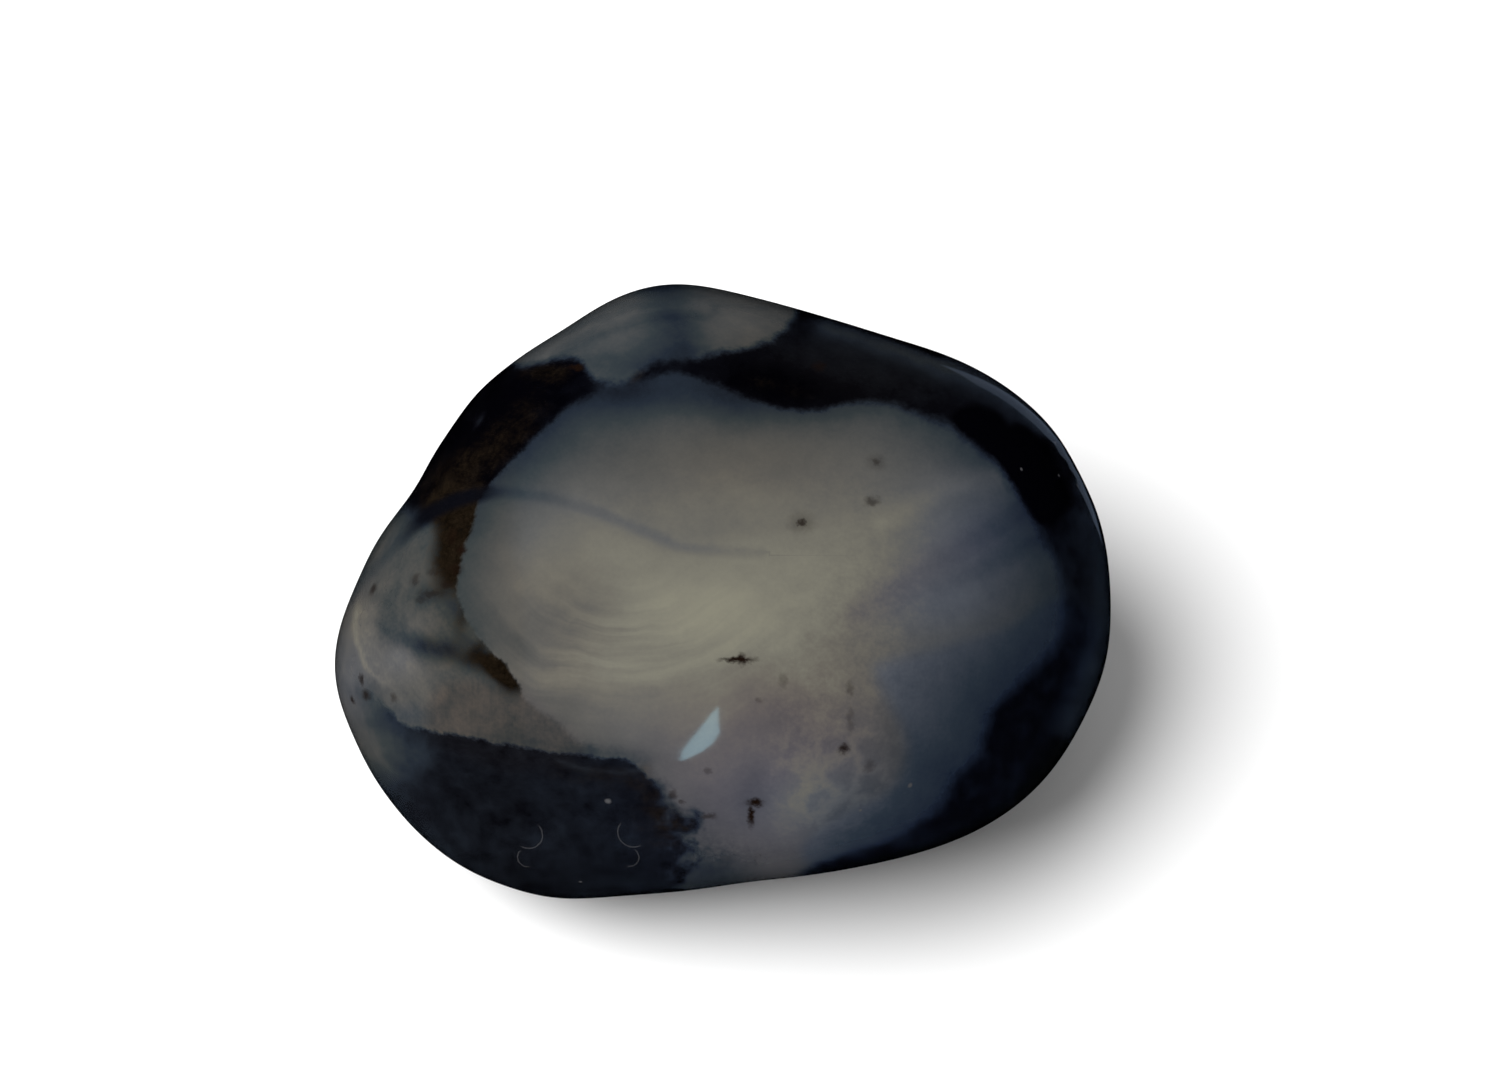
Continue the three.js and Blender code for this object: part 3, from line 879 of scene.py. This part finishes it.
def obsidian(finish, points, seat):
    """The polished stone. Milk of changing thickness lies in black glass: where it is thin it looks
    blue, and where it is thick grey and then olive. The same thickness carries a painted sheen and
    painted rim reflections. Stains, specks, marks and a few painted glints lie over it."""
    tree = Tree("polished_snowflake_obsidian")
    place = tree.node("ShaderNodeMapping", {"vector_type": "POINT"}, {
        "Vector": tree.node("ShaderNodeTexCoord", output="Object"),
        "Scale": (1 / MM, 1 / MM, 1 / MM),
        "Rotation": (RISE - math.pi / 2, 0.0, 0.0),
        "Location": tuple(-(FACE @ seat)),
    })
    broad = tree.noise(place, 0.4, 3.0) - 0.5
    small = tree.noise(place, 1.5, 4.0, 0.55) - 0.5
    grain = tree.noise(place, 6.0, 4.0, 0.6) - 0.5
    wander = broad * 0.25 + small * 0.5 + grain * 0.25
    ragged = broad * 0.4 + small * 0.8 + grain * 0.25

    # This noise reaches further in depth, so that its blots look as round near the rim as elsewhere.
    deep_place = tree.vector("MULTIPLY", place, (1.0, 1.0, 0.35))
    blots = tree.noise(deep_place, 1.5, 2.5, 0.5) - 0.5
    crumbs = (tree.noise(deep_place, 4.0, 3.0, 0.6) - 0.5) * tree.field("crumbs")
    frayed = (broad * 1.8 + blots * 3.0) * tree.field("frayed")
    loose = (broad * 5.0 + small * 1.6) * tree.field("loose")
    main = ((tree.field("main") + wander * 0.6 + frayed + loose) * tree.field("sharp")).rise(-0.6, 0.6)
    left = ((tree.field("left") + wander * 0.6 + loose) * tree.field("left_sharp")).rise(-0.9, 0.9)
    cap = (tree.field("cap") + wander * 0.6 + loose).rise(-0.18, 0.34)
    behind = tree.field("behind") + broad * 3.0 + small * 1.2 + grain * 0.4

    veined_place = tree.field("flow") * 1.3 + broad * 1.4
    streak_place = tree.node("ShaderNodeCombineXYZ", inputs={
        0: tree.vector("DOT_PRODUCT", place, (0.1, 0.0, 0.0), output="Value"),
        1: veined_place,
        2: 0.0,
    })
    streak = (tree.noise(streak_place, 1.0, 3.0, 0.55) - 0.5) * tree.field("streaks")

    cell_place = tree.vector("ADD", place, tree.tint(tree.noise(place, 1.3, 3.0, 0.6, "Color"), 1.3))
    cell = tree.node("ShaderNodeTexVoronoi", {"feature": "DISTANCE_TO_EDGE"}, {
        "Vector": cell_place, "Scale": 0.75,
    })
    in_cells = (tree.field("cells") + small * 0.6).rise(0.15, 0.8)
    rings = (cell.rise(0.34, 0.0) - 0.32) * in_cells

    upright = tree.noise(tree.vector("MULTIPLY", place, (5.0, 0.7, 1.0)), 1.0, 3.0) - 0.5

    # How thick the milk is, with the painted sheen and rim reflections in it.
    mottle = broad * 0.16 + blots * 0.20
    milk = tree.field("glass_milk") + mottle * (1.0 - tree.field("smooth_glass") * 0.8)
    thick_behind = behind.rise(0.0, 2.2) * 0.34 + small * 0.12 + 0.30
    milk = milk.toward(thick_behind, behind.rise(-0.12, 0.25))
    milk = milk.toward(tree.field("cap_milk") + broad * 0.20 + small * 0.05, cap)
    patchy = tree.field("left_milk") + broad * 0.24 + small * 0.10 + grain * 0.04
    milk = milk.toward(patchy + streak * 0.5 + upright * tree.field("weave") * 0.11, left)
    mottled = (small * 0.13 + grain * 0.05) * tree.field("mottled")
    clouded = tree.field("main_milk") + streak * 0.54 + rings * 0.085 + broad * 0.10 + mottled
    milk = milk.toward(clouded, main)
    milk = milk + crumbs * 0.35
    vein_dark = tree.field("vein_dark")
    vein = (abs(tree.field("vein") + small * 0.16) - vein_dark * 0.10).rise(0.40, 0.02)
    milk = milk - vein * 0.07 + grain * 0.04 + small * 0.07

    stops = [(position, colour(getattr(finish, name))) for position, name in MILK_STOPS]
    surface = tree.node("ShaderNodeValToRGB", {"stops": stops}, {0: milk})
    white = colour((1.0, 1.0, 1.0))
    below_heart = milk.rise(0.85, 0.65)
    for name, strength in (
        ("warm", tree.field("warm") * below_heart),
        ("lilac", tree.field("lilac") * below_heart),
        ("cool", tree.field("cool") * below_heart),
        ("tan", (tree.field("tan") + small * 0.4) * (1.0 - main)),
    ):
        tint = tree.mix(white, colour(getattr(finish, name)), strength)
        surface = tree.vector("MULTIPLY", surface, tint)
    stained = tree.field("rust")
    rust = (stained + ragged * 0.8).rise(0.10, 1.05) * (1.0 - main) * stained.rise(0.0, 0.3)
    surface = tree.mix(surface, tree.tint(finish.rust, 1.0 + small * 2.2 + grain * 1.6), rust)
    surface = tree.mix(surface, colour(finish.trace), vein * vein_dark * 0.95)

    broken = tree.vector("SUBTRACT", tree.noise(place, 3.5, 4.0, 0.65, "Color"), (0.5, 0.5, 0.5))
    shaken = tree.vector("ADD", place, tree.tint(broken, 0.45))
    surface = tree.mix(surface, colour(finish.speck), specks(tree, shaken, points))
    # Pale crescents and dots; some of the dots are painted glints.
    marked = tree.vector("ADD", place, tree.tint(broken, 0.08))
    surface = tree.mix(surface, colour(finish.mark), pale_marks_and_glints(tree, marked, points))

    shader = tree.node("ShaderNodeBsdfPrincipled", inputs={
        "Base Color": surface,
        "Roughness": finish.roughness + grain * 0.04,
        "IOR": 1.5,
    })
    tree.node("ShaderNodeOutputMaterial", inputs={"Surface": shader})
    return tree.material


class PEBBLE_OT_stone(bpy.types.Operator):
    """Build the stone"""

    bl_idname = "pebble.stone"
    bl_label = "Build the stone"

    def execute(self, context):
        shape = context.scene.pebble_shape
        points, faces = stone_surface(shape.rows, shape.wave_height / MM)
        seat = seat_of(points)
        stone = new_mesh("tumbled_stone", points + seat, faces, cloud_fields(points))
        stone.data.materials.append(obsidian(context.scene.pebble_finish, points, seat))
        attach(stone, "root")
        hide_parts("stone")
        context.scene["pebble_middle"] = [float(value) * MM for value in seat]
        return {"FINISHED"}


def add_light(name, kind, place, target, settings):
    """A light at a place, aimed at a target."""
    light = bpy.data.lights.new(name, kind)
    for key, value in settings.items():
        setattr(light, key, value)
    lamp = bpy.data.objects.new(name, light)
    lamp.location = place
    lamp.rotation_euler = (Vector(target) - Vector(place)).to_track_quat("-Z", "Y").to_euler()
    bpy.context.scene.collection.objects.link(lamp)
    return lamp


# Where the key light shines from, and how wide it is as seen from the stone, in degrees.
KEY_FROM = (-0.56, -0.18, 0.81)
KEY_WIDTH = 50.0

# Windows that only the polish mirrors: corners as azimuth from the back wall and height in degrees, as
# seen from the stone, then colour and brightness.
WINDOWS = [
    ("front_window", [
        (-168.2, 1), (-169.0, 11), (-170.7, 23), (-174.3, 40), (-178.1, 51), (-181.4, 57),
        (-178.4, 45), (-177.0, 34.8), (-174.4, 23.4), (-171.9, 14), (-169.6, 6),
    ], (0.50, 0.92, 1.08), 0.9),
    ("far_window", [
        (16, -16), (24, -9), (33, -14), (44, -26), (46, -36), (40, -44), (26, -36),
    ], (0.66, 0.85, 1.2), 0.03),
]


def add_window(name, corners, glow_colour, glow, middle):
    """A glowing pane near the stone, its corners at these azimuths and heights. Only mirror rays see it."""
    places = []
    for azimuth, height in corners:
        azimuth, height = math.radians(azimuth), math.radians(height)
        level = math.cos(height)
        heading = (math.sin(azimuth) * level, math.cos(azimuth) * level, math.sin(height))
        places.append(middle + Vector(heading) * WINDOW_DISTANCE)
    mesh = bpy.data.meshes.new(name)
    mesh.from_pydata(places, [], [tuple(range(len(places)))])
    tree = Tree(name)
    glass = tree.node("ShaderNodeEmission", inputs={
        "Color": colour(glow_colour), "Strength": glow,
    })
    tree.node("ShaderNodeOutputMaterial", inputs={"Surface": glass})
    mesh.materials.append(tree.material)
    pane = bpy.data.objects.new(name, mesh)
    bpy.context.scene.collection.objects.link(pane)
    pane.visible_camera = False
    pane.visible_diffuse = False
    pane.visible_shadow = False


class PEBBLE_OT_stage(bpy.types.Operator):
    """Build the floor, the lights and the camera"""

    bl_idname = "pebble.stage"
    bl_label = "Build the stage"

    def execute(self, context):
        scene = context.scene
        stage = scene.pebble_stage
        middle = Vector(scene["pebble_middle"])
        across, up, out = (Vector(row) for row in FACE)

        # The camera looks square at the broad face, from where the photographer stood.
        camera = bpy.data.objects.new("camera", bpy.data.cameras.new("camera"))
        camera.data.lens = stage.lens
        camera.data.sensor_width = 36.0
        eye = middle + out * DRAWN_FROM * MM
        aim = middle + (across * AIM[0] + up * AIM[1]) * MM
        camera.location = eye
        camera.rotation_euler = (aim - eye).to_track_quat("-Z", "Y").to_euler()
        camera.data.clip_start = 0.01
        camera.data.clip_end = 20.0
        scene.collection.objects.link(camera)
        scene.camera = camera

        mesh = bpy.data.meshes.new("floor")
        corners = [(-1, -1), (1, -1), (1, 1), (-1, 1)]
        mesh.from_pydata([(x * HALF_FLOOR, y * HALF_FLOOR, 0) for x, y in corners], [], [(0, 1, 2, 3)])
        floor = bpy.data.objects.new("floor", mesh)
        tree = Tree("pale_floor")
        shader = tree.node("ShaderNodeBsdfPrincipled", inputs={
            "Base Color": colour(stage.floor_colour), "Roughness": 0.9, "Specular IOR Level": 0.0,
        })
        tree.node("ShaderNodeOutputMaterial", inputs={"Surface": shader})
        mesh.materials.append(tree.material)
        scene.collection.objects.link(floor)
        floor.visible_glossy = False

        # Even light from all round, which the polish doesn't mirror.
        world = bpy.data.worlds.new("soft_room")
        world.use_nodes = True
        background = world.node_tree.nodes["Background"]
        background.inputs["Color"].default_value = (1.0, 1.0, 1.0, 1.0)
        background.inputs["Strength"].default_value = stage.sky_strength
        world.cycles_visibility.glossy = False
        scene.world = world

        sun = add_light("key", "SUN", KEY_FROM, (0, 0, 0), {
            "energy": stage.sun_strength, "angle": math.radians(KEY_WIDTH),
        })
        sun.visible_glossy = False
        for name, corners, glow_colour, glow in WINDOWS:
            add_window(name, corners, glow_colour, glow * stage.window_glow, middle)
        scene.view_settings.view_transform = "Standard"
        return {"FINISHED"}


class PEBBLE_PT_panel(bpy.types.Panel):
    """Lists the sizes, the colours and what can be built"""

    bl_label = "Obsidian pebble"
    bl_idname = "PEBBLE_PT_panel"
    bl_space_type = "VIEW_3D"
    bl_region_type = "UI"
    bl_category = "Pebble"

    def draw(self, context):
        for group in (context.scene.pebble_shape, context.scene.pebble_finish, context.scene.pebble_stage):
            box = self.layout.box()
            for name in group.__annotations__:
                box.prop(group, name)
        self.layout.operator("pebble.stone")
        self.layout.operator("pebble.stage")


GROUPS = {"pebble_shape": PebbleShape, "pebble_finish": PebbleFinish, "pebble_stage": PebbleStage}
CLASSES = (*GROUPS.values(), PEBBLE_OT_stone, PEBBLE_OT_stage, PEBBLE_PT_panel)


def register():
    for each in CLASSES:
        bpy.utils.register_class(each)
    for name, group in GROUPS.items():
        setattr(bpy.types.Scene, name, bpy.props.PointerProperty(type=group))


def unregister():
    for name in GROUPS:
        delattr(bpy.types.Scene, name)
    for each in reversed(CLASSES):
        bpy.utils.unregister_class(each)


def main():
    register()
    bpy.ops.pebble.stone()
    bpy.ops.pebble.stage()
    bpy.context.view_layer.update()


if __name__ == "__main__":
    main()
